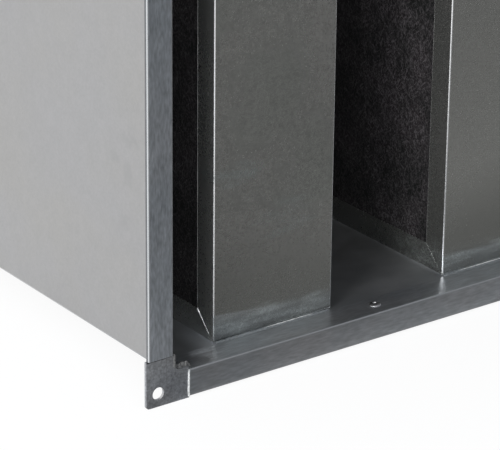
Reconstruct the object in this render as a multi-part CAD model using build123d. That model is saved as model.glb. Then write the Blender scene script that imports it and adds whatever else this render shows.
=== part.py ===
from build123d import *
import os

# Rectangular splitter sound attenuator for ventilation ducts.
# A sheet-steel casing with a bolting frame at each end holds upright absorbing baffles.
# Frame: millimetres, X across the duct, Y along the air flow, Z up.
# The origin is the middle of the duct axis, halfway between the two flange faces.

os.makedirs("parts", exist_ok=True)

# Duct
opening_width = 600.0
opening_height = 350.0
overall_length = 950.0

# Sheet steel
casing_sheet = 0.6
profile_sheet = 0.7
baffle_sheet = 0.7
inside_fold = 0.5

# Flange profile, a hollow rail that grips the end of the casing sheet
flange_height = 20.0
inner_leg_length = 22.5
outer_leg_length = 8.5
profile_cutback = 13.3

# Corner plate, pushed into the hollow of two profiles
plate_thickness = 2.0
plate_play = 0.3
plate_stand_out = 1.0
plate_step_in = 1.3
plate_leg_length = 28.0
plate_outer_round = 2.5
plate_inner_round = 5.5
bolt_hole_diameter = 9.0
bolt_offset = 11.5
coined_band_width = 6.0
coined_depth = 0.4
shoulder_gap = 0.2

# Lock seams along two corners of the casing
hem_gap = 0.3
seam_play = 0.1
pocket_depth = 9.0
pocket_lip = 5.0
lip_fold = 0.8
male_flange = 7.5
male_fold = 0.6
corner_fold = 1.3

# Baffles
baffle_count = 3
baffle_thickness = 100.0
nose_setback = 25.6
lip_width = 19.0
tab_length = 15.0
fleece_thickness = 0.6
mitre_gap = 0.4
rail_setback = 0.8

# Blind rivets
rivet_shank_diameter = 4.8
rivet_head_diameter = 8.9
rivet_head_height = 1.3
rivet_tail_diameter = 7.0
rivet_tail_length = 3.5
head_flat_count = 10
shank_flat_count = 6
rivet_hole_play = 0.05
tail_pocket_play = 0.5
flange_rivet_count_across = 2
flange_rivet_count_upright = 1
flange_rivet_spacing = 243.0
flange_rivet_depth = 12.6
baffle_rivet_depth = 8.0

# Sealant beads behind the corner plates
bead_width = 3.0
bead_length = 20.0

# Places worked out from the sizes above
front_face = -overall_length / 2
half_width = opening_width / 2
half_height = opening_height / 2
wall_x = half_width + profile_sheet
wall_z = half_height + profile_sheet
outside_fold = inside_fold + profile_sheet
plate_front = profile_sheet + plate_play
plate_back = plate_front + plate_thickness
profile_depth = plate_back + profile_sheet
casing_setback = plate_back + plate_play
casing_length = overall_length - 2 * casing_setback
baffle_length = overall_length - 2 * nose_setback
baffle_front = -baffle_length / 2
baffle_pitch = opening_width / baffle_count
baffle_grip = casing_sheet + 2 * baffle_sheet
almost = 0.98


def folded(plane, points, radii, sheet):
    """A folded sheet's section: its outer skin as a line, thickened to the left of its run."""
    skin = FilletPolyline(*points, radius=radii)
    outline = Wire(skin.edges()).offset_2d(sheet, side=Side.LEFT, closed=True)
    return plane * Face(outline)


def centred(plane, points, radii, sheet):
    """A folded sheet's section from its middle line, half the sheet on each side."""
    return plane * trace(FilletPolyline(*points, radius=radii), line_width=sheet)


def prism(plane, points, half_length):
    """A straight-sided bar through the given corners, as long each way from its plane."""
    return extrude(plane * make_face(Polyline(*points, close=True)), half_length, both=True)


def group(solids):
    """Separate solids that share one node."""
    return Compound(children=[Solid(s.wrapped) for part in solids for s in part.solids()])


def rivet_hole(x, y, z, depth):
    """A drill for a rivet hole, upright through z."""
    round_hole = RegularPolygon(rivet_shank_diameter / 2 + rivet_hole_play, shank_flat_count)
    return Pos(x, y, z) * extrude(round_hole, depth, both=True)


def blind_rivet(grip):
    """Blind rivet with its low domed head above z = 0 and its set tail below the stack it grips."""
    rim = RegularPolygon(rivet_head_diameter / 2, head_flat_count)
    crown = RegularPolygon(rivet_shank_diameter / 2, head_flat_count)
    dome = loft([rim, Pos(0, 0, rivet_head_height) * crown])
    shank = extrude(RegularPolygon(rivet_shank_diameter / 2, shank_flat_count), -grip)
    tail = extrude(RegularPolygon(rivet_tail_diameter / 2, shank_flat_count), -rivet_tail_length)
    return dome + shank + Pos(0, 0, -grip) * tail


# Flange profiles


def flange_profile(opening, rivet_count):
    """
    Bottom profile of the front frame, centred on X with its inner leg on z = 0.
    Its sheet runs along the duct wall, up the face, round a hairpin and back to a short outer leg.
    """
    hairpin = almost * profile_depth / 2
    grip = profile_sheet + casing_sheet
    skin = [
        (inner_leg_length, 0),
        (0, 0),
        (0, -flange_height),
        (profile_depth, -flange_height),
        (profile_depth, -grip - profile_sheet),
        (outer_leg_length, -grip - profile_sheet),
    ]
    section = folded(Plane.YZ, skin, [outside_fold, hairpin, hairpin, inside_fold], profile_sheet)
    bar = extrude(section, opening / 2 - profile_cutback, both=True)
    for x in flange_rivet_places(rivet_count):
        bar -= rivet_hole(x, flange_rivet_depth, 0, profile_sheet + casing_sheet)
    return bar


def flange_rivet_places(rivet_count):
    """Where the rivets stand along one side of the frame, evenly about its middle."""
    first = -flange_rivet_spacing * (rivet_count - 1) / 2
    return [first + n * flange_rivet_spacing for n in range(rivet_count)]


def flange_rivets(rivet_count):
    """The rivets through the inner leg of one profile and the casing under it."""
    rivet = blind_rivet(profile_sheet + casing_sheet)
    return [Pos(x, flange_rivet_depth, 0) * rivet for x in flange_rivet_places(rivet_count)]


frame_sides = {
    "bottom": (0, half_height, opening_width, flange_rivet_count_across),
    "left": (90, half_width, opening_height, flange_rivet_count_upright),
    "top": (180, half_height, opening_width, flange_rivet_count_across),
    "right": (270, half_width, opening_height, flange_rivet_count_upright),
}


def on_side(side):
    """From the bottom profile's own place to one side of the front frame."""
    angle, reach, _, _ = frame_sides[side]
    return Rot(0, angle, 0) * Pos(0, front_face, -reach)


def at_end(end, shape):
    """The rear frame is the front one mirrored."""
    return shape if end == "front" else mirror(shape, Plane.XZ)


# Corner plates


def corner_plate():
    """
    Stamped elbow drawn about the corner of the opening, material towards negative x and z.
    Two narrow legs slide into the profiles and leave the wide elbow with its bolt hole showing.
    """
    outer = -flange_height - plate_stand_out
    shoulder = profile_cutback - shoulder_gap
    tip = shoulder + plate_leg_length
    leg_inside = -profile_sheet - casing_sheet - plate_play
    leg_outside = -flange_height + profile_depth / 2 + shoulder_gap
    elbow_corners = [
        (outer, outer),
        (shoulder, outer),
        (shoulder, plate_step_in),
        (plate_step_in, plate_step_in),
        (plate_step_in, shoulder),
        (outer, shoulder),
    ]
    elbow = make_face(Polyline(*elbow_corners, close=True))
    outer_vertex = elbow.vertices().sort_by_distance((outer, outer))[0]
    elbow = fillet(outer_vertex, plate_outer_round)
    inner_vertex = elbow.vertices().sort_by_distance((plate_step_in, plate_step_in))[0]
    elbow = fillet(inner_vertex, plate_inner_round)
    leg = [(0, leg_outside), (tip, leg_outside), (tip, leg_inside), (0, leg_inside)]
    across = make_face(Polyline(*leg, close=True))
    upright = make_face(Polyline(*[(b, a) for a, b in leg], close=True))
    blank = elbow + across + upright
    hole = Pos(-bolt_offset, -bolt_offset) * Circle(bolt_hole_diameter / 2)
    place = Plane.XZ.offset(-plate_back)
    plate = extrude(place * (blank - hole), plate_thickness)
    band_edge = plate_step_in - coined_band_width
    band = [(band_edge, band_edge), (shoulder, band_edge), (shoulder, shoulder), (band_edge, shoulder)]
    coin = make_face(Polyline(*band, close=True))
    return plate - extrude(Plane.XZ.offset(-plate_front - coined_depth) * coin, plate_thickness)


def sealant_bead():
    """A tooled bead along the casing's inside corner, behind the corner plate."""
    section = [
        (-profile_sheet + corner_fold, -profile_sheet),
        (-profile_sheet + bead_width, -profile_sheet),
        (-profile_sheet, -profile_sheet + bead_width),
        (-profile_sheet, -profile_sheet + corner_fold),
    ]
    place = Plane.XZ.offset(-plate_back)
    return extrude(place * make_face(Polyline(*section, close=True)), -bead_length)


def on_corner(upright, across, shape):
    """Carries a shape drawn about the lower left corner to one of the four corners."""
    if upright == "top":
        shape = mirror(shape, Plane.XY)
    if across == "right":
        shape = mirror(shape, Plane.YZ)
    x = half_width if across == "right" else -half_width
    z = half_height if upright == "top" else -half_height
    return Pos(x, front_face, z) * shape


# Casing


def baffle_rivet_places():
    """Where rivets join the casing to the two ends of a baffle, along its middle line."""
    front_rivet = baffle_front + baffle_rivet_depth
    return [front_rivet, -front_rivet]


def baffle_lines():
    """Middle line of each baffle across the duct."""
    first = -opening_width / 2 + baffle_pitch / 2
    return [first + n * baffle_pitch for n in range(baffle_count)]


def casing_half():
    """
    Left wall and floor folded from one sheet.
    The wall ends at the top in the pocket of a lock seam, the floor ends in the flange it takes.
    """
    wall_line = -wall_x - casing_sheet / 2
    floor_line = -wall_z - casing_sheet / 2
    back_layer = wall_line - casing_sheet - hem_gap
    front_layer = back_layer - 2 * casing_sheet - 2 * seam_play
    hem_fold = almost * (wall_line - back_layer) / 2
    pocket_fold = almost * (back_layer - front_layer) / 2
    lip_line = wall_z + casing_sheet + seam_play + casing_sheet / 2
    hem_line = wall_z - seam_play - casing_sheet / 2
    pocket_end = wall_z - pocket_depth
    male_line = wall_x + 2 * casing_sheet + hem_gap + seam_play + casing_sheet / 2
    middle = [
        (-wall_x + pocket_lip, lip_line),
        (front_layer, lip_line),
        (front_layer, pocket_end),
        (back_layer, pocket_end),
        (back_layer, hem_line),
        (wall_line, hem_line),
        (wall_line, floor_line),
        (male_line, floor_line),
        (male_line, -wall_z + male_flange),
    ]
    folds = [lip_fold, pocket_fold, pocket_fold, hem_fold, hem_fold, corner_fold, male_fold]
    half = extrude(centred(Plane.XZ, middle, folds, casing_sheet), casing_length / 2, both=True)
    drill = 4 * casing_sheet
    for side in ("left", "bottom"):
        for x in flange_rivet_places(frame_sides[side][-1]):
            hole = on_side(side) * rivet_hole(x, flange_rivet_depth, 0, drill)
            half -= at_end("front", hole)
            half -= at_end("rear", hole)
    for line in baffle_lines():
        for y in baffle_rivet_places():
            half -= rivet_hole(line, y, -wall_z, drill)
    return half


# Baffles


def mitred(bar, plane, wedges, across):
    """Cuts the ends of a channel's lips along the mitre."""
    for wedge in wedges:
        bar -= prism(plane, wedge, across)
    return bar


def nose_channel():
    """
    Front channel of a baffle: a flat face as tall as the duct with a lip down each side.
    Tabs at its foot and head lie on the webs of the rails and take the rivets.
    """
    half = baffle_thickness / 2
    fold = inside_fold + baffle_sheet
    foot = -wall_z + baffle_sheet
    lip_end = baffle_front + lip_width
    plan = [(-half, lip_end), (-half, baffle_front), (half, baffle_front), (half, lip_end)]
    section = folded(Plane.XY.offset(foot + fold), plan, [fold, fold], baffle_sheet)
    channel = extrude(section, 2 * (-foot - fold))
    tab_end = baffle_front + tab_length
    side = [(tab_end, -foot), (baffle_front, -foot), (baffle_front, foot), (tab_end, foot)]
    tabs = extrude(folded(Plane.YZ, side, [fold, fold], baffle_sheet), half - fold, both=True)
    reach = lip_width + mitre_gap
    gap = mitre_gap / 2
    foot_wedge = [
        (baffle_front, -wall_z + gap),
        (baffle_front + reach, -wall_z + gap),
        (baffle_front + reach, -wall_z + gap + reach),
    ]
    head_wedge = [(y, -z) for y, z in foot_wedge]
    body = mitred(channel, Plane.YZ, [foot_wedge, head_wedge], baffle_thickness) + tabs
    return body - rivet_hole(0, baffle_front + baffle_rivet_depth, 0, opening_height)


def floor_rail():
    """Bottom channel of a baffle, web on the casing floor, with mitred lips up both sides."""
    half = baffle_thickness / 2
    fold = inside_fold + baffle_sheet
    lip_top = -wall_z + lip_width
    rail_end = baffle_front + rail_setback
    cross = [(-half, lip_top), (-half, -wall_z), (half, -wall_z), (half, lip_top)]
    channel = extrude(folded(Plane.XZ, cross, [fold, fold], baffle_sheet), -rail_end, both=True)
    reach = lip_width + mitre_gap
    gap = mitre_gap / 2
    wedge = [
        (baffle_front + gap, -wall_z),
        (baffle_front + gap, -wall_z + reach),
        (baffle_front + gap + reach, -wall_z + reach),
    ]
    body = mitred(channel, Plane.YZ, [wedge, [(-y, z) for y, z in wedge]], baffle_thickness)
    for y in baffle_rivet_places():
        body -= rivet_hole(0, y, -wall_z, 2 * baffle_sheet)
    return body


def facing(side):
    """Glass-fleece sheet that lies against the lips and keeps the fibres out of the air."""
    inset = 2 * baffle_sheet + inside_fold
    x = side * (baffle_thickness / 2 - baffle_sheet - fleece_thickness / 2)
    along = baffle_length - 2 * (baffle_sheet + inside_fold)
    return Pos(x, 0, 0) * Box(fleece_thickness, along, 2 * (wall_z - inset))


def core():
    """Mineral-wool slab that fills a baffle, pressed away round the tails of the rivets."""
    inset = 2 * baffle_sheet + inside_fold
    across = baffle_thickness - 2 * baffle_sheet - 2 * fleece_thickness
    along = baffle_length - 2 * (baffle_sheet + inside_fold)
    slab = Box(across, along, 2 * (wall_z - inset))
    pocket = RegularPolygon(rivet_tail_diameter / 2 + tail_pocket_play, shank_flat_count)
    depth = rivet_tail_length + tail_pocket_play
    for y in baffle_rivet_places():
        for end in (-1, 1):
            floor = end * (wall_z - 2 * baffle_sheet)
            slab -= Pos(0, y, floor) * extrude(pocket, depth, both=True)
    return slab


def baffle_rivets():
    """Rivets set from under the casing floor into the rail and the tabs of each baffle."""
    rivet = Rot(180, 0, 0) * blind_rivet(baffle_grip)
    under = -wall_z - casing_sheet
    return [Pos(line, y, under) * rivet for line in baffle_lines() for y in baffle_rivet_places()]


# Writing the nodes


def write(name, shape):
    """One STEP file for each named piece."""
    export_step(shape, f"parts/{name}.step")


left_and_floor = casing_half()
write("casing_left_and_floor", left_and_floor)
write("casing_right_and_ceiling", Rot(0, 180, 0) * left_and_floor)

plate = corner_plate()
bead = sealant_bead()
for end in ("front", "rear"):
    rivets = []
    for side, (_, _, opening, rivet_count) in frame_sides.items():
        profile = on_side(side) * flange_profile(opening, rivet_count)
        write(f"{end}_flange_{side}", at_end(end, profile))
        rivets += [at_end(end, on_side(side) * rivet) for rivet in flange_rivets(rivet_count)]
    write(f"{end}_flange_rivets", group(rivets))
    beads = []
    for upright in ("bottom", "top"):
        for across in ("left", "right"):
            write(f"{end}_corner_{upright}_{across}", at_end(end, on_corner(upright, across, plate)))
            beads.append(at_end(end, on_corner(upright, across, bead)))
    write(f"{end}_corner_sealant", group(beads))

nose = nose_channel()
rail = floor_rail()
slab = core()
for n, line in enumerate(baffle_lines(), start=1):
    place = Pos(line, 0, 0)
    write(f"baffle_{n}_front_channel", place * nose)
    write(f"baffle_{n}_rear_channel", place * Rot(0, 0, 180) * nose)
    write(f"baffle_{n}_floor_rail", place * rail)
    write(f"baffle_{n}_ceiling_rail", place * Rot(0, 180, 0) * rail)
    write(f"baffle_{n}_core", place * slab)
    write(f"baffle_{n}_left_facing", place * facing(-1))
    write(f"baffle_{n}_right_facing", place * facing(1))

floor_rivets = baffle_rivets()
write("floor_baffle_rivets", group(floor_rivets))
write("ceiling_baffle_rivets", group([Rot(0, 180, 0) * r for r in floor_rivets]))
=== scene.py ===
import math
import bpy
import numpy as np
from mathutils import Matrix, Vector


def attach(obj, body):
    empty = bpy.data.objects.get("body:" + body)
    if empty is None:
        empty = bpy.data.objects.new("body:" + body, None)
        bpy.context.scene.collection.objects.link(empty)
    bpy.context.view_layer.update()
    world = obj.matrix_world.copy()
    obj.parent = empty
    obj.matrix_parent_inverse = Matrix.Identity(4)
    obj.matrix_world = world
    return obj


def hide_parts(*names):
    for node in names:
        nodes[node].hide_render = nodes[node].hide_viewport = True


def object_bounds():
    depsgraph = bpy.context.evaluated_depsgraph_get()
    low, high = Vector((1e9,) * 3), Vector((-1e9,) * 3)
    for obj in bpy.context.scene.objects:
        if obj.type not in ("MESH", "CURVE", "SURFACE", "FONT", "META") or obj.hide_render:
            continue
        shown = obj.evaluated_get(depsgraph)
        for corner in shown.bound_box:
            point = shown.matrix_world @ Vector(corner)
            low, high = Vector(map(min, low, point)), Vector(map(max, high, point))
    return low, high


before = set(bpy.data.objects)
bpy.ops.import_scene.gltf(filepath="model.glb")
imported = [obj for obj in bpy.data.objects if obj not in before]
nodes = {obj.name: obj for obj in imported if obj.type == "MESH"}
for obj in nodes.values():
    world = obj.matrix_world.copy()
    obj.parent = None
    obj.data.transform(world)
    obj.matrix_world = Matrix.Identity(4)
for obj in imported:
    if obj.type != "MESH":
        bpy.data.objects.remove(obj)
cad_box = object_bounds()


# Casing: two L-shaped halves of galvanised sheet, folded on a brake and hooked together by a lock
# seam along two corners. The zinc has a fine grain, soft clouds, dull stains and burnished folds, and
# rags have left a pale haze on the duct's floor. A paler strip on the floor beside the first baffle is
# a wipe and partly painted light, fading out toward the wall where the rail's shadow falls.

def new_finish(name):
    """A material with its principled shader and the object coordinates, in metres."""
    material = bpy.data.materials.new(name)
    material.use_nodes = True
    tree = material.node_tree
    place = tree.nodes.new("ShaderNodeTexCoord").outputs["Object"]
    return material, tree, tree.nodes["Principled BSDF"], place


def wire(tree, kind, inputs, **settings):
    """One shader node. An input is a plain value or another node's output."""
    made = tree.nodes.new(kind)
    for key, value in settings.items():
        setattr(made, key, value)
    for key, value in inputs.items():
        if isinstance(value, bpy.types.NodeSocket):
            tree.links.new(value, made.inputs[key])
        else:
            made.inputs[key].default_value = value
    return made


def grain(tree, place, size, detail=2.0, stretch=(1.0, 1.0, 1.0), warp=0.0):
    """Noise with lumps about size metres across, drawn out along an axis where stretch is over one."""
    narrowed = [1 / s for s in stretch]
    scaled = wire(tree, "ShaderNodeVectorMath", {0: place, 1: narrowed}, operation="MULTIPLY")
    noise = wire(
        tree, "ShaderNodeTexNoise",
        {"Vector": scaled.outputs[0], "Scale": 1 / size, "Detail": detail, "Distortion": warp},
    )
    return noise.outputs["Fac"]


def span(tree, value, low, high, to_low, to_high, smooth=False):
    """Maps value from low..high onto to_low..to_high, held at both ends."""
    mapped = wire(
        tree, "ShaderNodeMapRange",
        {"Value": value, "From Min": low, "From Max": high, "To Min": to_low, "To Max": to_high},
        interpolation_type="SMOOTHSTEP" if smooth else "LINEAR",
    )
    return mapped.outputs[0]


def combine(tree, operation, a, b):
    """Arithmetic on two values."""
    return wire(tree, "ShaderNodeMath", {0: a, 1: b}, operation=operation).outputs[0]


def overlap(tree, *shares):
    """The product of several shares, which is one only where all of them are."""
    product = shares[0]
    for share in shares[1:]:
        product = combine(tree, "MULTIPLY", product, share)
    return product


def away(tree, value, middle=0.0):
    """How far value is from middle, either way."""
    return combine(tree, "ABSOLUTE", combine(tree, "SUBTRACT", value, middle), 0.0)


def coordinates(tree):
    """The object coordinates in metres, first together and then as x, y and z."""
    place = wire(tree, "ShaderNodeTexCoord", {}).outputs["Object"]
    return place, wire(tree, "ShaderNodeSeparateXYZ", {0: place}).outputs


def blend_colour(tree, share, a, b):
    """Colour a turning into colour b as share goes from 0 to 1."""
    mix = wire(tree, "ShaderNodeMix", {"Factor": share, 6: a, 7: b}, data_type="RGBA")
    return mix.outputs[2]


def fold_mask(tree):
    """
    One on the bends of folded sheet and zero on its flats.
    A flat faces along an axis, so its normal's largest part is one, and on a bend it is less.
    """
    normal = wire(tree, "ShaderNodeNewGeometry", {}).outputs["Normal"]
    unsigned = wire(tree, "ShaderNodeVectorMath", {0: normal}, operation="ABSOLUTE").outputs[0]
    parts = wire(tree, "ShaderNodeSeparateXYZ", {0: unsigned}).outputs
    largest = combine(tree, "MAXIMUM", combine(tree, "MAXIMUM", parts[0], parts[1]), parts[2])
    return span(tree, largest, 0.999, 0.95, 0.0, 1.0)


metal_share = 0.86


def zinc(name, cool, warm, rough, mottle, grain_size, grain_depth, wave_depth, worn, polish=0.55,
         stretch=(1.0, 1.0, 1.0)):
    """
    Galvanised steel. cool and warm are the two shades that its clouds run between, rough its mean
    roughness, mottle the contrast of its grain, grain_depth and wave_depth the height of the grain
    and of the sheet's slight waves. Its folds are worn to a brighter colour and to polish times rough.
    """
    material, tree, shader, place = new_finish(name)
    cloud_size, patch_size, wave_length = 0.07, 5 * grain_size, 0.11
    grain_dulling, cloud_dulling = 0.02, 0.03
    clouds = grain(tree, place, cloud_size, 3.0)
    fine = grain(tree, place, grain_size, 2.0, stretch)
    patches = grain(tree, place, patch_size, 2.0, stretch)
    coat = blend_colour(tree, span(tree, clouds, 0.35, 0.65, 0.0, 1.0), cool, warm)
    speckle = span(tree, fine, 0.25, 0.75, 1 - mottle, 1 + mottle)
    patchy = span(tree, patches, 0.3, 0.7, 1 - 0.35 * mottle, 1 + 0.35 * mottle)
    shade = combine(tree, "MULTIPLY", speckle, patchy)
    shaded = wire(tree, "ShaderNodeVectorMath", {0: coat, "Scale": shade}, operation="SCALE").outputs[0]
    folds = fold_mask(tree)
    tree.links.new(blend_colour(tree, folds, shaded, worn), shader.inputs["Base Color"])
    dull = combine(tree, "ADD", span(tree, fine, 0.3, 0.7, rough - grain_dulling, rough + grain_dulling),
                   span(tree, clouds, 0.3, 0.7, -cloud_dulling, cloud_dulling))
    burnished = wire(tree, "ShaderNodeMix", {0: folds, 2: dull, 3: polish * rough}).outputs[0]
    tree.links.new(burnished, shader.inputs["Roughness"])
    shader.inputs["Metallic"].default_value = metal_share
    waves = grain(tree, place, wave_length, 1.0)
    height = combine(tree, "ADD", combine(tree, "MULTIPLY", fine, grain_depth),
                     combine(tree, "MULTIPLY", waves, wave_depth))
    bump = wire(tree, "ShaderNodeBump", {"Height": height, "Strength": 1.0, "Distance": 1.0})
    tree.links.new(bump.outputs[0], shader.inputs["Normal"])
    return material


def lay_over(material, share, colour):
    """Lays a second colour over a finish where share is one."""
    tree = material.node_tree
    base = tree.nodes["Principled BSDF"].inputs["Base Color"]
    below = base.links[0].from_socket
    tree.links.new(blend_colour(tree, share, below, colour), base)


def smear(material, across, up, centre, half_width, half_height, strength):
    """
    A soft-edged smear on a flat, with its middle at centre along the axes across and up, 0 for x to 2
    for z. It is an ellipse: the squares of the two offsets over the half sizes are added up with
    noise, and the smear fades as their sum grows.
    """
    tree = material.node_tree
    place, axes = coordinates(tree)
    squares = []
    for axis, middle, half in ((across, centre[0], half_width), (up, centre[1], half_height)):
        offset = combine(tree, "DIVIDE", away(tree, axes[axis], middle), half)
        squares.append(combine(tree, "POWER", offset, 2.0))
    tatter_size, speck_size = 0.6 * half_height, 0.0018
    ragged = span(tree, grain(tree, place, tatter_size, 4.0, (5.0, 1.0, 1.0)), 0.3, 0.7, -0.7, 0.9)
    far = combine(tree, "ADD", combine(tree, "ADD", squares[0], squares[1]), ragged)
    soft = span(tree, far, -0.3, 1.4, strength, 0.0, smooth=True)
    return overlap(tree, soft, span(tree, grain(tree, place, speck_size), 0.3, 0.7, 0.4, 1.0))


def finish_node(name, material):
    """Gives a carried-over node its finish."""
    for slot in nodes[name].material_slots:
        slot.material = material


casing_zinc = zinc(
    "casing_zinc", (0.452, 0.452, 0.458, 1), (0.462, 0.459, 0.454, 1), rough=0.37, mottle=0.05,
    grain_size=0.0018, grain_depth=0.00001, wave_depth=0.0006, worn=(0.8, 0.81, 0.82, 1),
)
stains = (
    ((-0.426, -0.025), 0.010, 0.006), ((-0.409, -0.042), 0.006, 0.005), ((-0.424, -0.050), 0.006, 0.013),
    ((-0.420, -0.085), 0.007, 0.006),
)
for centre, half_width, half_height in stains:
    stain = smear(casing_zinc, 1, 2, centre, half_width, half_height, 0.75)
    lay_over(casing_zinc, stain, (0.40, 0.40, 0.405, 1))
tree = casing_zinc.node_tree
place, (x, y, z) = coordinates(tree)
over_floor = (-0.1750, -0.1740)
on_floor = span(tree, z, *over_floor, 1.0, 0.0)
toward_ends = span(tree, away(tree, y), 0.34, 0.45, 0.0, 0.85)
lay_over(casing_zinc, overlap(tree, on_floor, toward_ends), (0.41, 0.43, 0.45, 1))
haze_size = 0.035
haze = span(tree, grain(tree, place, haze_size, 4.0, (1.5, 1.0, 1.0), 0.2), 0.42, 0.62, 0.0, 0.5)
lay_over(casing_zinc, overlap(tree, on_floor, haze), (0.66, 0.67, 0.68, 1))
# Painted light over a wipe: a paler strip on the floor beside the first baffle, brightest toward the front
# and fading out toward the wall, where the rail's shadow falls.
clear_of_rail_shadow = span(tree, x, -0.270, -0.2535, 0.0, 1.0, smooth=True)
up_to_baffle = span(tree, x, -0.2485, -0.2495, 0.0, 1.0)
toward_front = span(tree, y, -0.412, -0.440, 0.25, 1.0, smooth=True)
wipe_and_painted_light_strip = overlap(tree, on_floor, clear_of_rail_shadow, up_to_baffle, toward_front)
lay_over(casing_zinc, wipe_and_painted_light_strip, (0.93, 0.96, 1.0, 1))
finish_node("casing_left_and_floor", casing_zinc)
finish_node("casing_right_and_ceiling", casing_zinc)


# Bolting frames: four rails at each end, roll-formed from galvanised strip with a hairpin outer edge.
# The zinc is bluer and coarser than the casing's, with faint lines along the rolling direction. The
# back of an upright rail's hairpin is painted dark as shade, and a hand has wiped the bottom rail near
# one corner.

rail_looks = dict(
    cool=(0.44, 0.468, 0.498, 1), warm=(0.468, 0.468, 0.48, 1), rough=0.328, mottle=0.18,
    grain_size=0.0016, grain_depth=0.0, wave_depth=0.0002, worn=(0.45, 0.46, 0.475, 1),
)
across_zinc = zinc("rail_zinc_across", polish=1.1, stretch=(5.0, 1.0, 1.0), **rail_looks)
tree = across_zinc.node_tree
on_bottom = span(tree, coordinates(tree)[1]["Z"], -0.1740, -0.1748, 0.0, 1.0)
wipe_depth = 0.010
faint_wipe = overlap(tree, on_bottom, smear(across_zinc, 0, 1, (-0.230, -0.458), 0.035, wipe_depth, 0.15))
chalky_wipe = overlap(tree, on_bottom, smear(across_zinc, 0, 1, (-0.265, -0.456), 0.013, wipe_depth, 0.9))
lay_over(across_zinc, faint_wipe, (0.84, 0.88, 0.90, 1))
lay_over(across_zinc, chalky_wipe, (0.60, 0.635, 0.66, 1))
less_metal = span(tree, chalky_wipe, 0.0, 1.0, metal_share, 0.2)
tree.links.new(less_metal, tree.nodes["Principled BSDF"].inputs["Metallic"])
rail_looks.update(
    cool=(0.44, 0.475, 0.515, 1), warm=(0.465, 0.49, 0.525, 1), rough=0.34, mottle=0.27,
    grain_depth=0.00002, worn=(0.56, 0.58, 0.6, 1),
)
upright_zinc = zinc("rail_zinc_upright", stretch=(1.0, 1.0, 4.0), **rail_looks)
tree = upright_zinc.node_tree
x, y = coordinates(tree)[1][:2]
# Painted shade: the back of the hairpin, where its fold turns away from the light, is darkened.
normal = wire(tree, "ShaderNodeNewGeometry", {}).outputs["Normal"]
outward = combine(tree, "MULTIPLY", wire(tree, "ShaderNodeSeparateXYZ", {0: normal}).outputs["Y"], y)
painted_shade_back = span(tree, outward, 0.28, 0.2, 0.0, 0.7)
on_hairpin = span(tree, away(tree, x), 0.3178, 0.3181, 0.0, 1.0)
lay_over(upright_zinc, overlap(tree, painted_shade_back, on_hairpin), (0.12, 0.12, 0.125, 1))
for end in ("front", "rear"):
    for side in ("bottom", "top"):
        finish_node(f"{end}_flange_{side}", across_zinc)
    for side in ("left", "right"):
        finish_node(f"{end}_flange_{side}", upright_zinc)


# Corner plates: stamped from thick galvanised strip and pushed into the ends of two rails. Their zinc
# is duller and more mottled than the sheet's, and a dark line along the stamped step is painted shade.

plate_zinc = zinc(
    "plate_zinc", (0.43, 0.45, 0.485, 1), (0.475, 0.475, 0.48, 1), rough=0.38, mottle=0.3,
    grain_size=0.0014, grain_depth=0.00003, wave_depth=0.0003, worn=(0.5, 0.5, 0.51, 1),
)


def step_shade_line(material, across, along, step, reach, half_width, strength):
    """
    Painted shade in the edge of the stamped step: a thin dark line where the coordinate across is as far
    as step from the middle of the part, either way, and the coordinate along is no further than reach.
    """
    tree = material.node_tree
    axes = coordinates(tree)[1]
    off = away(tree, away(tree, axes[across]), step)
    inside = span(tree, away(tree, axes[along]), reach, reach + 0.0003, 1.0, 0.0)
    return overlap(tree, span(tree, off, 0.4 * half_width, half_width, strength, 0.0), inside)


step_x, step_z, shade_half_width = 0.3047, 0.1797, 0.0006
# Painted shade along both edges of the stamped step.
for across, along, step, reach in ((0, 2, step_x, step_z), (2, 0, step_z, step_x)):
    line = step_shade_line(plate_zinc, across, along, step, reach, shade_half_width, 0.35)
    lay_over(plate_zinc, line, (0.25, 0.25, 0.26, 1))
for end in ("front", "rear"):
    for upright in ("bottom", "top"):
        for across in ("left", "right"):
            finish_node(f"{end}_corner_{upright}_{across}", plate_zinc)


# Baffle frames: front and rear channels and the rails between them, folded from thinner galvanised
# sheet with a slightly warm, cloudy coat. Their lips meet in mitres, and the sheared edges stand a
# little proud. Painted shade darkens the flats toward the floor, a paler band across the first nose's
# foot is a painted reflection of the floor, painted light makes the second and third baffles and the
# first baffle's outer lips paler, and hands have left soft wipes on the noses.

nose_y, wall_z, baffle_half = 449.4, 175.7, 50.0
baffle_middles = {"1": -200.0, "2": 0.0, "3": 200.0}


def mesh_piece(name, points, faces, material, slot_name):
    """A smooth-shaded mesh in the part's frame, in metres, that rides on the part."""
    mesh = bpy.data.meshes.new(name)
    mesh.from_pydata(np.reshape(points, (-1, 3)).tolist(), [], faces)
    mesh.polygons.foreach_set("use_smooth", np.ones(len(mesh.polygons), dtype=bool))
    mesh.materials.append(material)
    mesh.update()
    piece = bpy.data.objects.new(name, mesh)
    bpy.context.scene.collection.objects.link(piece)
    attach(piece, "root")
    return piece


def tube_faces(rows, columns, first=0):
    """Faces of a closed tube of points, rows along it and columns round it, with both ends capped."""
    row, column = np.meshgrid(np.arange(rows - 1), np.arange(columns), indexing="ij")
    start = first + row * columns
    beside = (column + 1) % columns
    quads = [start + column, start + beside, start + columns + beside, start + columns + column]
    ring = first + np.arange(columns)
    caps = [ring[::-1].tolist(), (ring + (rows - 1) * columns).tolist()]
    return np.stack(quads, axis=-1).reshape(-1, 4).tolist() + caps


def ripple(u, v, size, seed):
    """
    Smooth random relief between about -1 and 1: a sum of sine waves about size long that run in
    random directions over u and v.
    """
    draw = np.random.default_rng(seed)
    total = np.zeros(np.broadcast(u, v).shape)
    waves, usual_peak = 14, 1.4
    for heading, length, phase in zip(draw.uniform(0, math.pi, waves), draw.uniform(0.6, 1.6, waves),
                                      draw.uniform(0, 2 * math.pi, waves)):
        travel = u * math.cos(heading) + v * math.sin(heading)
        total = total + np.sin(2 * math.pi * travel / (length * size) + phase)
    return total / waves ** 0.5 / usual_peak


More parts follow.
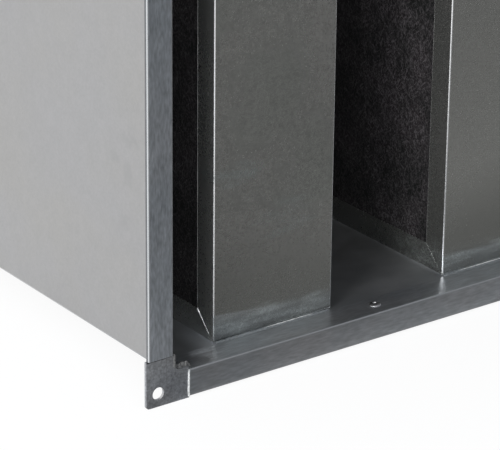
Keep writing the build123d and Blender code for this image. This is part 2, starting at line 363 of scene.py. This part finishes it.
def proud_edge(start, end, across, out, width, swell):
    """
    A low ridge of millimetres from start to end, as shears leave on cut sheet. Its skewed section lies
    along across, rises along out, and is as wide as width times swell, one value for each row.
    """
    section = np.array([(-0.50, -0.25), (-0.42, 0.12), (-0.12, 0.34), (0.20, 0.22), (0.42, -0.25)]) * width
    start, end, across, out = (np.array(v, dtype=float) for v in (start, end, across, out))
    if np.dot(np.cross(across, out), end - start) > 0:
        section = section[::-1]
    along = np.linspace(0.0, 1.0, len(swell))[:, None, None]
    rise = section[:, :1] * across + section[:, 1:] * out
    return start + along * (end - start) + swell[:, None, None] * rise


def join_tubes(tubes):
    """Points in metres and faces of several tubes that have the same number of rows and columns."""
    rows, columns = tubes[0].shape[:2]
    faces = [face for n in range(len(tubes)) for face in tube_faces(rows, columns, n * rows * columns)]
    return np.array(tubes) * 0.001, faces


def mitre_edges(middle, width, seed):
    """
    The proud sheared edges along the eight mitres of one baffle. Each runs at 45 degrees, from a little
    way off the corner of the nose to the inner corner of the lips, and swells towards the latter.
    """
    first_run, last_run, rows, diagonal = 3.6, 19.2, 36, 0.707
    along = np.linspace(0.0, 1.0, rows)
    ridges = []
    for side in (-1, 1):
        for end in (-1, 1):
            for level in (-1, 1):
                uneven = 0.1 * ripple(30 * along, 0 * along, 7.0, seed + len(ridges))
                swell = 0.05 + 1.15 * along ** 1.3 + uneven
                face = middle + side * baffle_half
                near, far = [
                    (face, end * (nose_y - run), level * (wall_z - run)) for run in (first_run, last_run)
                ]
                across = (0, end * diagonal, -level * diagonal)
                ridges.append(proud_edge(near, far, across, (side, 0, 0), width, np.abs(swell)))
    return join_tubes(ridges)


def lip_edges(middle, width):
    """The sheared upright edges of one baffle's lips: four thin ridges with a gently uneven width."""
    lip_width, lip_half_height, rows = 18.8, 155.5, 36
    swell = 1.0 + 0.25 * ripple(np.linspace(0.0, 300.0, rows), np.zeros(rows), 40.0, int(middle) + 900)
    ridges = []
    for side in (-1, 1):
        for end in (-1, 1):
            x, y = middle + side * baffle_half, end * (nose_y - lip_width)
            foot, head = (x, y, -lip_half_height), (x, y, lip_half_height)
            ridges.append(proud_edge(foot, head, (0, end, 0), (side, 0, 0), width, swell))
    return join_tubes(ridges)


behind_nose_face = (-0.4488, -0.4480)


def floor_reflection_band(material):
    """
    A painted reflection of the floor: a pale, bluish band across the foot of the first nose. It is about
    20 mm tall at the nose's left edge and 10 mm at its right one, in a straight line, fades the same
    way, and is palest along its top.
    """
    tree = material.node_tree
    x, y, z = coordinates(tree)[1]
    over = combine(tree, "SUBTRACT", z, span(tree, x, -0.25, -0.15, -0.1555, -0.1650))
    band = span(tree, over, -0.0007, 0.0007, 1.0, 0.0, smooth=True)
    on_noses = span(tree, y, *behind_nose_face, 1.0, 0.0)
    on_first = span(tree, x, -0.149, -0.148, 1.0, 0.0)
    fade = span(tree, x, -0.24, -0.16, 0.95, 0.0)
    depth = span(tree, over, -0.008, 0.0, 0.0, 1.0, smooth=True)
    shade = blend_colour(tree, depth, (0.25, 0.262, 0.264, 1), (0.54, 0.565, 0.57, 1))
    lay_over(material, overlap(tree, band, on_noses, on_first, fade), shade)


baffle_zinc = zinc(
    "baffle_zinc", (0.445, 0.455, 0.428, 1), (0.47, 0.465, 0.445, 1), rough=0.26, mottle=0.15,
    grain_size=0.0018, grain_depth=0.00005, wave_depth=0.0005, worn=(0.98, 0.99, 1.0, 1), polish=0.9,
)
tree = baffle_zinc.node_tree
x, y, z = coordinates(tree)[1]
flats = combine(tree, "SUBTRACT", 1.0, fold_mask(tree))
# Painted light: the flats of the second and third baffles are painted paler, as they stand in more light.
painted_light_later_baffles = span(tree, x, -0.0497, -0.0490, 0.0, 0.6)
lay_over(baffle_zinc, overlap(tree, flats, painted_light_later_baffles), (0.55, 0.555, 0.525, 1))
# Painted shade: the flats are darkened in two steps toward the foot.
painted_foot_shade = (
    (-0.085, -0.155, 0.85, (0.34, 0.345, 0.325, 1)),
    (-0.155, -0.172, 0.6, (0.25, 0.26, 0.255, 1)),
)
for high, low, share, dark in painted_foot_shade:
    toward_foot = span(tree, z, high, low, 0.0, share, smooth=True)
    lay_over(baffle_zinc, overlap(tree, flats, toward_foot), dark)
# Painted light: the outermost lips, on the left of the first baffle, are painted paler.
painted_light_outer_lips = span(tree, x, -0.2495, -0.2499, 0.0, 0.8)
lay_over(baffle_zinc, overlap(tree, flats, painted_light_outer_lips), (0.60, 0.605, 0.585, 1))
floor_reflection_band(baffle_zinc)
on_lips = span(tree, y, *behind_nose_face, 0.0, 1.0)
on_nose = combine(tree, "SUBTRACT", 1.0, on_lips)
foot_smears = (
    (on_nose, (-0.436, -0.166), 0.024, 0.009, 0.95, (0.68, 0.73, 0.72, 1)),
    (on_lips, (-0.431, -0.165), 0.036, 0.012, 0.75, (0.66, 0.70, 0.68, 1)),
)
for where, centre, half_width, half_height, strength, colour in foot_smears:
    smudge = smear(baffle_zinc, 1, 2, centre, half_width, half_height, strength)
    lay_over(baffle_zinc, overlap(tree, where, smudge), colour)
nose_wipes = (((-0.233, -0.058), 0.022, 0.009), ((-0.190, -0.098), 0.028, 0.014))
for centre, half_width, half_height in nose_wipes:
    wipe = smear(baffle_zinc, 0, 2, centre, half_width, half_height, 0.8)
    lay_over(baffle_zinc, wipe, (0.51, 0.555, 0.545, 1))
sheared_zinc = zinc(
    "sheared_zinc", (0.6, 0.61, 0.6, 1), (0.68, 0.68, 0.67, 1), rough=0.42, mottle=0.3,
    grain_size=0.0012, grain_depth=0.00004, wave_depth=0.0, worn=(0.78, 0.79, 0.79, 1),
)

mitre_ridge_widths = {"1": 2.8, "2": 0.2, "3": 0.8}
lip_ridge_widths = {"1": 0.35, "2": 0.15, "3": 0.15}
for n, middle in baffle_middles.items():
    for piece in ("front_channel", "rear_channel", "floor_rail", "ceiling_rail"):
        finish_node(f"baffle_{n}_{piece}", baffle_zinc)
    mitres = mitre_edges(middle, mitre_ridge_widths[n], int(n))
    mesh_piece(f"baffle_{n}_mitre_edges", *mitres, sheared_zinc, "baffle_frame")
    lips = lip_edges(middle, lip_ridge_widths[n])
    mesh_piece(f"baffle_{n}_lip_edges", *lips, sheared_zinc, "baffle_frame")


# Mineral-wool cores: stiff slabs of yellow-brown fibre, cut to fill the baffle frames and held there
# behind the fleece.

wool, tree, shader, place = new_finish("mineral_wool")
fibres = grain(tree, place, 0.0008, 4.0, (6.0, 6.0, 1.0), warp=1.5)
layers = grain(tree, place, 0.012, 2.0)
straw = blend_colour(tree, fibres, (0.30, 0.22, 0.09, 1), (0.66, 0.55, 0.30, 1))
tree.links.new(blend_colour(tree, span(tree, layers, 0.4, 0.6, 0.0, 0.35), straw, (0.4, 0.33, 0.17, 1)),
               shader.inputs["Base Color"])
shader.inputs["Roughness"].default_value = 0.95
bump = wire(tree, "ShaderNodeBump", {"Height": fibres, "Strength": 0.6, "Distance": 0.0004})
tree.links.new(bump.outputs[0], shader.inputs["Normal"])
for n in baffle_middles:
    finish_node(f"baffle_{n}_core", wool)


# Fleece facings: black glass fleece glued over the wool and held behind the lips of the baffle frame.
# It lies in slight swells over the wool, and loose glass fibres in it catch a little light. A strip a
# little way in from the front, brighter upward and left out in the first baffle, is painted light.

def strands(tree, place, size, length, turn, warp):
    """Fibres about size metres thick and length times longer, turned by turn about the X axis."""
    turned = wire(tree, "ShaderNodeVectorRotate", {"Vector": place, "Angle": turn}, rotation_type="X_AXIS")
    noise = grain(tree, turned.outputs[0], size, 1.0, (1.0, 1.0, length), warp)
    return span(tree, noise, 0.56, 0.68, 0.0, 1.0)


def fleece_sheet(middle, side, seed):
    """
    One facing as a thin closed sheet of even thickness. It rises off the wool in random swells, the sum
    of a coarse and a fine ripple, that fade to nothing in a smooth step where the lips of the frame
    hold it down.
    """
    half_length, half_height = 448.2, 173.8
    open_half_length, open_half_height = 430.4, 156.7
    face_out, back_out, stiff_width = 49.3, 48.7, 14.0
    along, up = np.linspace(-half_length, half_length, 241), np.linspace(-half_height, half_height, 95)
    y, z = np.meshgrid(along, up, indexing="ij")
    free = np.minimum(open_half_length - np.abs(y), open_half_height - np.abs(z))
    hold = np.clip(free / stiff_width, 0.0, 1.0)
    swell = 0.45 + 0.4 * ripple(y, z, 70.0, seed) + 0.2 * ripple(y, z, 24.0, seed + 50)
    rise = np.clip(swell, 0.0, 1.2) * hold * hold * (3 - 2 * hold)
    front = np.stack([middle + side * (face_out + rise), y, z], axis=-1)
    back = np.stack([middle + side * (back_out + rise), y, z], axis=-1)
    rows, columns = y.shape
    row, column = np.meshgrid(np.arange(rows - 1), np.arange(columns - 1), indexing="ij")
    start = row * columns + column
    skin = np.stack([start, start + 1, start + columns + 1, start + columns], axis=-1).reshape(-1, 4)
    index = np.arange(rows * columns).reshape(rows, columns)
    rim = np.concatenate([index[0, :-1], index[:-1, -1], index[-1, :0:-1], index[:0:-1, 0]])
    beside = np.roll(rim, -1)
    under = rows * columns
    edge = np.stack([beside, rim, rim + under, beside + under], axis=-1)
    faces = np.concatenate([skin, skin[:, ::-1] + under, edge])
    if side > 0:
        faces = faces[:, ::-1]
    return np.stack([front, back]) * 0.001, faces.tolist()


fleece, tree, shader, place = new_finish("glass_fleece")
drift = span(tree, grain(tree, place, 0.03, 4.0), 0.38, 0.62, 0.0, 1.0)
patchy = blend_colour(tree, drift, (0.003, 0.0036, 0.0033, 1), (0.0125, 0.010, 0.0112, 1))
strand_size, strand_length, strand_curl = 0.0011, 8.0, 1.2
web = None
for turn in (0.1, 0.5, -0.35, 1.0, -0.9):
    layer = strands(tree, place, strand_size, strand_length, turn, strand_curl)
    web = layer if web is None else combine(tree, "MAXIMUM", web, layer)
specks = span(tree, grain(tree, place, 0.0014, 3.0), 0.35, 0.65, 0.1, 1.0)
lit = overlap(tree, web, specks, span(tree, drift, 0.0, 1.0, 0.55, 1.0))
x, y, z = coordinates(tree)[1]
# Painted light: a strip a little way in from the front, where light comes in through the duct's opening,
# is brightened, more toward the top and not in the first baffle.
light_pool_y, light_pool_reach = -0.382, 0.052
fleece_light_pool = span(tree, away(tree, y, light_pool_y), 0.0, light_pool_reach, 1.0, 0.0, smooth=True)
upward = span(tree, z, -0.10, 0.0, 0.5, 1.5)
past_first_baffle = span(tree, x, -0.11, -0.09, 0.0, 1.0)
gain = combine(tree, "ADD", overlap(tree, fleece_light_pool, upward, past_first_baffle), 1.0)
web_colour = blend_colour(tree, lit, patchy, (0.105, 0.096, 0.101, 1))
pooled_colour = wire(tree, "ShaderNodeVectorMath", {0: web_colour, "Scale": gain}, operation="SCALE")
tree.links.new(pooled_colour.outputs[0], shader.inputs["Base Color"])
shader.inputs["Roughness"].default_value = 0.8
shader.inputs["Specular IOR Level"].default_value = 0.15
shader.inputs["Sheen Weight"].default_value = 0.06
shader.inputs["Sheen Roughness"].default_value = 0.5
bump = wire(tree, "ShaderNodeBump", {"Height": lit, "Strength": 0.7, "Distance": 0.0003})
tree.links.new(bump.outputs[0], shader.inputs["Normal"])
for n, middle in baffle_middles.items():
    for side, name in ((-1, "left"), (1, "right")):
        skin = fleece_sheet(middle, side, seed=10 * int(n) + side)
        facing = mesh_piece(f"baffle_{n}_{name}_fleece", *skin, fleece, "glass_fleece")
        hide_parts(f"baffle_{n}_{name}_facing")


# Rivets: aluminium blind rivets. Each has a low domed head with the broken mandrel in its middle, and
# behind the sheets the tail that the mandrel bulged when it was pulled.

def rivet_profile(grip):
    """
    Half outline of a set blind rivet in millimetres, as distances from its axis and heights over the
    sheet, from the end of the tail up to the mandrel in the head.
    """
    tail = [
        (0.1, -3.45), (1.6, -3.4), (2.5, -3.05), (3.2, -2.3), (3.45, -1.4), (3.2, -0.5), (2.6, -0.02),
        (2.35, 0.0),
    ]
    head = [
        (2.35, 0.0), (4.25, 0.0), (4.42, 0.08), (4.45, 0.2), (4.3, 0.42), (3.7, 0.78), (2.9, 1.1),
        (2.1, 1.27), (1.75, 1.26), (1.55, 1.16), (1.45, 0.98), (1.4, 0.75), (1.15, 0.66), (1.02, 0.7),
        (0.8, 0.74), (0.1, 0.76),
    ]
    return np.array([(r, h - grip) for r, h in tail] + head)


def set_rivets(places, grip):
    """
    Rivets at the given places, each a point on the outer sheet and the direction its head points in.
    Each is its half outline turned about its axis in forty steps.
    """
    outline = rivet_profile(grip)
    turn = np.linspace(0.0, 2 * math.pi, 40, endpoint=False)
    points, faces = [], []
    for place, axis in places:
        axis = np.array(axis, dtype=float)
        first = np.cross(axis, (0.36, 0.48, 0.8))
        first /= np.linalg.norm(first)
        second = np.cross(axis, first)
        ring = np.cos(turn)[:, None] * first + np.sin(turn)[:, None] * second
        rivet = np.array(place) + outline[:, :1, None] * ring + outline[:, 1:, None] * axis
        faces += tube_faces(len(outline), len(turn), len(points) * len(outline) * len(turn))
        points.append(rivet)
    return np.array(points) * 0.001, faces


rivet_metal, tree, shader, place = new_finish("rivet_metal")
scratch = grain(tree, place, 0.0006, 3.0)
scratched = blend_colour(tree, scratch, (0.44, 0.44, 0.45, 1), (0.6, 0.6, 0.61, 1))
tree.links.new(scratched, shader.inputs["Base Color"])
tree.links.new(span(tree, scratch, 0.3, 0.7, 0.28, 0.42), shader.inputs["Roughness"])
shader.inputs["Metallic"].default_value = 1.0
duct_half_width, duct_half_height, face_y = 300.0, 175.0, 475.0
rail_rivet_x, rail_rivet_inset, rail_grip = 121.5, 12.6, 1.3
for end, way in (("front", -1), ("rear", 1)):
    y = way * (face_y - rail_rivet_inset)
    places = [
        ((x, y, -level * duct_half_height), (0, 0, level))
        for level in (-1, 1) for x in (-rail_rivet_x, rail_rivet_x)
    ]
    places += [((-side * duct_half_width, y, 0), (side, 0, 0)) for side in (-1, 1)]
    heads = mesh_piece(f"{end}_frame_rivets", *set_rivets(places, rail_grip), rivet_metal, "rivets")
    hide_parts(f"{end}_flange_rivets")
baffle_rivet_y, baffle_grip, casing_sheet = 441.4, 2.0, 0.6
for name, level in (("floor", -1), ("ceiling", 1)):
    places = [
        ((x, y, level * (wall_z + casing_sheet)), (0, 0, level))
        for x in baffle_middles.values() for y in (-baffle_rivet_y, baffle_rivet_y)
    ]
    heads = mesh_piece(f"{name}_rivets", *set_rivets(places, baffle_grip), rivet_metal, "rivets")
    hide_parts(f"{name}_baffle_rivets")


# Sealant: mastic pressed by hand into the corners behind the plates, a thin line of it along the cut
# ends of the rails, and a thread squeezed out in front of each nose. The corner beads are a dark copy
# of the mastic, painted shade, and the line and threads a pale copy, painted light. The beads are
# lumpy and torn at their ends. Dark beads in the slot under each nose and in the upright joints are
# painted shadow.

def mastic_bead(corner, along, out, up, length, widths, seed):
    """
    A lumpy quarter-round bead in the angle between two faces, in millimetres.
    It starts at corner and runs along for length. widths are how far it spreads along out and along
    up; random relief makes both uneven, and they shrink at the bead's ends.
    """
    rows, columns = 48, 12
    run = np.linspace(0.0, 1.0, rows)[:, None]
    turn = np.linspace(0.0, math.pi / 2, columns - 1)[None, :]
    body = np.clip(np.minimum(run * 9 + 0.8, (1 - run) * 5), 0.02, 1.0) ** 0.5
    coarse = 0.15 * ripple(run * length, turn * 2.0, 5.5, seed)
    lumps = 0.95 + coarse + 0.1 * ripple(run * length, turn * 3.0, 1.6, seed + 9)
    radius = body * np.clip(lumps, 0.3, 1.15)
    start, along, out, up = (np.array(v, dtype=float) for v in (corner, along, out, up))
    spine = start + run[..., None] * length * along
    spread = widths[0] * np.cos(turn)[..., None] * out + widths[1] * np.sin(turn)[..., None] * up
    bead = np.concatenate([spine, spine + radius[..., None] * spread], axis=1)
    return bead[:, ::-1] if np.dot(np.cross(out, up), along) < 0 else bead


plate_y = face_y - 1.0


def corner_beads(way, side, level, seed):
    """The beads of one corner: along the casing's fold, across the floor and up the wall."""
    fold_x, plate_back_y = 300.8, face_y - 3.0
    place = (side * fold_x, way * plate_back_y, level * (wall_z + 0.1))
    to_x, to_y, to_z = (-side, 0, 0), (0, -way, 0), (0, 0, -level)
    at_edge = (side * 299.2, way * plate_y, level * 171.3)
    return [
        mastic_bead(place, to_y, to_x, to_z, 20.0, (3.3, 3.3), seed),
        mastic_bead(place, to_x, to_y, to_z, 17.0, (5.0, 5.8), seed + 1),
        mastic_bead(at_edge, to_z, to_y, to_x, 10.4, (2.4, 1.7), seed + 2),
    ]


def rail_end_beads(way, side, level, seed):
    """A thin line of mastic between the plate's face and the cut end of the rail across the duct."""
    cut_x, rail_edge_z, joint_length = 286.8, 195.0, 19.6
    place = (side * cut_x, way * plate_y, level * rail_edge_z)
    return [mastic_bead(place, (0, 0, -level), (side, 0, 0), (0, way, 0), joint_length, (1.2, 0.85), seed)]


def upright_joint_shadow_beads(way, side, level, seed):
    """A dark bead in the joint between the plate's face and the cut end of an upright rail, painted
    shadow.
    """
    rail_edge_x, cut_z, joint_length = 320.6, 161.8, 21.4
    place = (side * rail_edge_x, way * plate_y, level * cut_z)
    return [mastic_bead(place, (-side, 0, 0), (0, 0, level), (0, way, 0), joint_length, (0.9, 0.5), seed)]


def slot_shadow_bead(way, middle, seed):
    """A dark bead in the slot between the foot of a nose and the frame's inner leg, painted shadow."""
    slot_y, slot_length = 448.9, 99.0
    place = (middle - slot_length / 2, way * slot_y, -wall_z)
    return mastic_bead(place, (1, 0, 0), (0, way, 0), (0, 0, 1), slot_length, (4.2, 0.95), seed)


def foot_thread(way, middle, first, length, seed):
    """
    A thread of mastic squeezed out in front of a nose, in the pale copy that is painted light. Its
    width follows half a sine wave, so it is thin at both ends, with a little ripple.
    """
    thread_y, thread_z, thread_width, rows = 450.2, -174.75, 0.75, 48
    taper = np.sin(np.linspace(0.03, 0.97, rows) * math.pi) ** 0.7
    swell = taper * (1 + 0.2 * ripple(np.arange(rows), np.zeros(rows), 9, seed))
    start, stop = ((middle + x, way * thread_y, thread_z) for x in (first, first + length))
    return proud_edge(start, stop, (0, way, 0), (0, 0, 1), thread_width, swell)


def mastic_finish(name, dark, pale, share):
    """Dull mastic whose lumps run from dark to pale; share is where between them it starts to pale."""
    material, tree, shader, place = new_finish(name)
    lumps = span(tree, grain(tree, place, 0.0015, 3.0), share, share + 0.25, 0.0, 1.0)
    tree.links.new(blend_colour(tree, lumps, dark, pale), shader.inputs["Base Color"])
    shader.inputs["Roughness"].default_value = 0.6
    return material


# Painted light and shade: one mastic in two copies, a dark one for the corners behind the plates, which
# lie in shade, and a pale one for the line along the rail ends and the threads, which catch the light.
shaded_mastic = mastic_finish("shaded_mastic", (0.045, 0.045, 0.046, 1), (0.15, 0.151, 0.15, 1), 0.3)
lit_mastic = mastic_finish("lit_mastic", (0.48, 0.48, 0.47, 1), (0.82, 0.83, 0.82, 1), 0.3)
# Painted shadow: a near-black copy for the beads in the upright joints.
joint_shadow_mastic = mastic_finish("joint_shadow_mastic", (0.02, 0.02, 0.02, 1), (0.3, 0.3, 0.29, 1), 0.55)
# Painted shadow: a dark copy for the beads in the slots under the noses.
slot_shadow_mastic = mastic_finish("slot_shadow_mastic", (0.11, 0.12, 0.13, 1), (0.23, 0.25, 0.26, 1), 0.3)
mastic_kinds = {
    "corner_mastic": (corner_beads, shaded_mastic),
    "rail_end_mastic": (rail_end_beads, lit_mastic),
    "painted_joint_shadow": (upright_joint_shadow_beads, joint_shadow_mastic),
}
threads = {"1": (-8.0, 42.0), "2": (-36.0, 48.0), "3": (-30.0, 48.0)}
for end, way in (("front", -1), ("rear", 1)):
    for number, (name, (make, finish)) in enumerate(mastic_kinds.items()):
        tubes = []
        for side in (-1, 1):
            for level in (-1, 1):
                tubes += make(way, side, level, 231 + 5 * side + 11 * level + 100 * way + 1000 * number)
        beads = mesh_piece(f"{end}_{name}", *join_tubes(tubes), finish, "sealant")
        if name == "corner_mastic":
            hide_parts(f"{end}_corner_sealant")
    tubes = [slot_shadow_bead(way, middle, 77 + int(n) + 10 * way) for n, middle in baffle_middles.items()]
    mesh_piece(f"{end}_nose_foot_shadow_bead", *join_tubes(tubes), slot_shadow_mastic, "sealant")
    tubes = [foot_thread(way, middle, *threads[n], 31 + int(n)) for n, middle in baffle_middles.items()]
    mesh_piece(f"{end}_nose_foot_threads", *join_tubes(tubes), lit_mastic, "sealant")


# Studio: a pale floor under the part, a softbox beside its left front corner and a dim one in front.
# The floor and the room are bright to the left of the part and dim to its right front, as its
# reflections show.

def bearing_light(tree, offset, levels):
    """
    Brightness by compass bearing round the upright axis: 0 degrees toward the left of the part, 90 in
    front of it, 180 to its right and -90 behind it. levels are pairs of a bearing and a brightness.
    """
    x, y = wire(tree, "ShaderNodeSeparateXYZ", {0: offset}).outputs[:2]
    left, forward = combine(tree, "MULTIPLY", x, -1.0), combine(tree, "MULTIPLY", y, -1.0)
    bearing = combine(tree, "ARCTAN2", forward, left)
    ramp = wire(tree, "ShaderNodeValToRGB", {0: span(tree, bearing, -math.pi, math.pi, 0.0, 1.0)})
    stops = ramp.color_ramp.elements
    while len(stops) < len(levels):
        stops.new(0.5)
    for stop, (angle, level) in zip(stops, levels):
        stop.position = angle / 360 + 0.5
    for stop, (angle, level) in zip(stops, levels):
        stop.color = (level, level, level, 1)
    return ramp.outputs[0]


def floor_finish():
    """Pale floor that the camera sees nearly white, with the part's own shadow left in."""
    material, tree, shader, place = new_finish("studio_floor")
    tree.nodes.remove(shader)
    rays = wire(tree, "ShaderNodeLightPath", {}).outputs
    seen_white, seen_glow = 1.05, 0.86
    paper = wire(tree, "ShaderNodeBsdfDiffuse", {"Color": (0.85, 0.85, 0.85, 1)})
    glow = wire(tree, "ShaderNodeEmission", {"Color": (1, 1, 1, 1), "Strength": 1.0})
    ends = {0: place, 1: front_corner}
    offset = wire(tree, "ShaderNodeVectorMath", ends, operation="SUBTRACT").outputs[0]
    seen = combine(tree, "MAXIMUM", rays["Is Camera Ray"], rays["Is Transmission Ray"])
    reach = wire(tree, "ShaderNodeVectorMath", {0: offset}, operation="LENGTH").outputs["Value"]
    near = span(tree, reach, 0.02, 0.35, 1.0, 0.0)
    close, far = bearing_light(tree, offset, close_levels), bearing_light(tree, offset, floor_levels)
    mirrored = wire(tree, "ShaderNodeMix", {0: near, 2: far, 3: close}).outputs[0]
    white = wire(tree, "ShaderNodeMix", {0: seen, 2: mirrored, 3: seen_white}).outputs[0]
    tree.links.new(white, glow.inputs["Strength"])
    share = combine(tree, "MAXIMUM", combine(tree, "MULTIPLY", seen, seen_glow), rays["Is Glossy Ray"])
    mix = wire(tree, "ShaderNodeMixShader", {0: share, 1: paper.outputs[0], 2: glow.outputs[0]})
    tree.links.new(mix.outputs[0], tree.nodes["Material Output"].inputs["Surface"])
    return material


bright_side = (
    (-180, 0.4), (-120, 0.7), (-85, 0.93), (-35, 0.93), (-12, 0.6), (6, 0.6), (18, 1.3), (50, 1.3),
)
floor_levels = bright_side + (
    (78, 0.3), (105, 0.16), (126, 0.14), (146, 0.085), (160, 0.21), (172, 0.15), (180, 0.35),
)
close_levels = bright_side + (
    (78, 0.4), (105, 0.38), (127, 0.33), (140, 0.08), (150, 0.05), (160, 0.12), (172, 0.16), (180, 0.35),
)
floor_size = 12.0
floor_z = cad_box[0][2]
front_corner = (-0.325, -0.473, floor_z)
corners = [(x, y, floor_z) for x, y in floor_size * np.array([(-1, -1), (1, -1), (1, 1), (-1, 1)])]
floor_mesh = bpy.data.meshes.new("studio_floor")
floor_mesh.from_pydata(corners, [], [(0, 1, 2, 3)])
floor = bpy.data.objects.new("studio_floor", floor_mesh)
bpy.context.scene.collection.objects.link(floor)
floor.data.materials.append(floor_finish())

world = bpy.data.worlds.new("studio")
bpy.context.scene.world = world
world.use_nodes = True
tree = world.node_tree
toward = wire(tree, "ShaderNodeTexCoord", {}).outputs["Generated"]
rays = wire(tree, "ShaderNodeLightPath", {}).outputs
rise = wire(tree, "ShaderNodeSeparateXYZ", {0: toward}).outputs["Z"]
height = span(tree, rise, 0.25, 0.85, 0.0, 1.0, smooth=True)
room_levels = ((-180, 0.3), (-130, 1.0), (85, 1.0), (112, 0.3), (180, 0.3))
height = combine(tree, "MULTIPLY", height, bearing_light(tree, toward, room_levels))
room = blend_colour(tree, height, (0.29, 0.3, 0.31, 1), (0.66, 0.69, 0.74, 1))
sweep_levels = (
    (-180, 0.0), (-130, 0.3), (-85, 1.0), (-20, 0.9), (-10, 0.6), (6, 0.6), (18, 1.0), (45, 1.0),
    (75, 0.1), (90, 0.0), (180, 0.0),
)
sweep = bearing_light(tree, toward, sweep_levels)
seen = combine(tree, "MAXIMUM", rays["Is Camera Ray"], rays["Is Transmission Ray"])
share = combine(tree, "MAXIMUM", seen, combine(tree, "MULTIPLY", rays["Is Glossy Ray"], sweep))
tree.links.new(blend_colour(tree, share, room, (1, 1, 1, 1)), tree.nodes["Background"].inputs["Color"])


def softbox(name, place, target, width, height, power):
    """A flat lamp of the given size that faces the target."""
    lamp = bpy.data.lights.new(name, "AREA")
    lamp.shape = "RECTANGLE"
    lamp.size = width
    lamp.size_y = height
    lamp.energy = power
    holder = bpy.data.objects.new(name, lamp)
    holder.location = place
    holder.rotation_euler = (Vector(target) - Vector(place)).to_track_quat("-Z", "Y").to_euler()
    holder.visible_camera = False
    bpy.context.scene.collection.objects.link(holder)


softbox("side_softbox", (-1.64, -1.13, 0.65), (-0.3, -0.45, -0.05), width=0.55, height=1.2, power=17.0)
softbox("front_softbox", (-0.75, -1.95, 0.75), (-0.25, -0.45, -0.15), width=0.7, height=0.7, power=4.4)


# Camera: a long lens at the photograph's own viewpoint. Its place, its angles and its focal length
# were solved from the straight edges of the part.

picture_width = 500
focal_pixels = 2798.0
sensor_width = 36.0
yaw, pitch, roll = (math.radians(a) for a in (36.19, 22.46, 0.56))
camera_data = bpy.data.cameras.new("camera")
camera_data.sensor_fit = "HORIZONTAL"
camera_data.sensor_width = sensor_width
camera_data.lens = focal_pixels / picture_width * sensor_width
camera = bpy.data.objects.new("camera", camera_data)
level = Matrix.Rotation(-yaw, 4, "Z") @ Matrix.Rotation(math.pi / 2 - pitch, 4, "X")
stand = Matrix.Translation((-1.242, -1.846, 0.619))
camera.matrix_world = stand @ level @ Matrix.Rotation(roll, 4, "Z")
bpy.context.scene.collection.objects.link(camera)
bpy.context.scene.camera = camera
bpy.context.scene.view_settings.view_transform = "Standard"
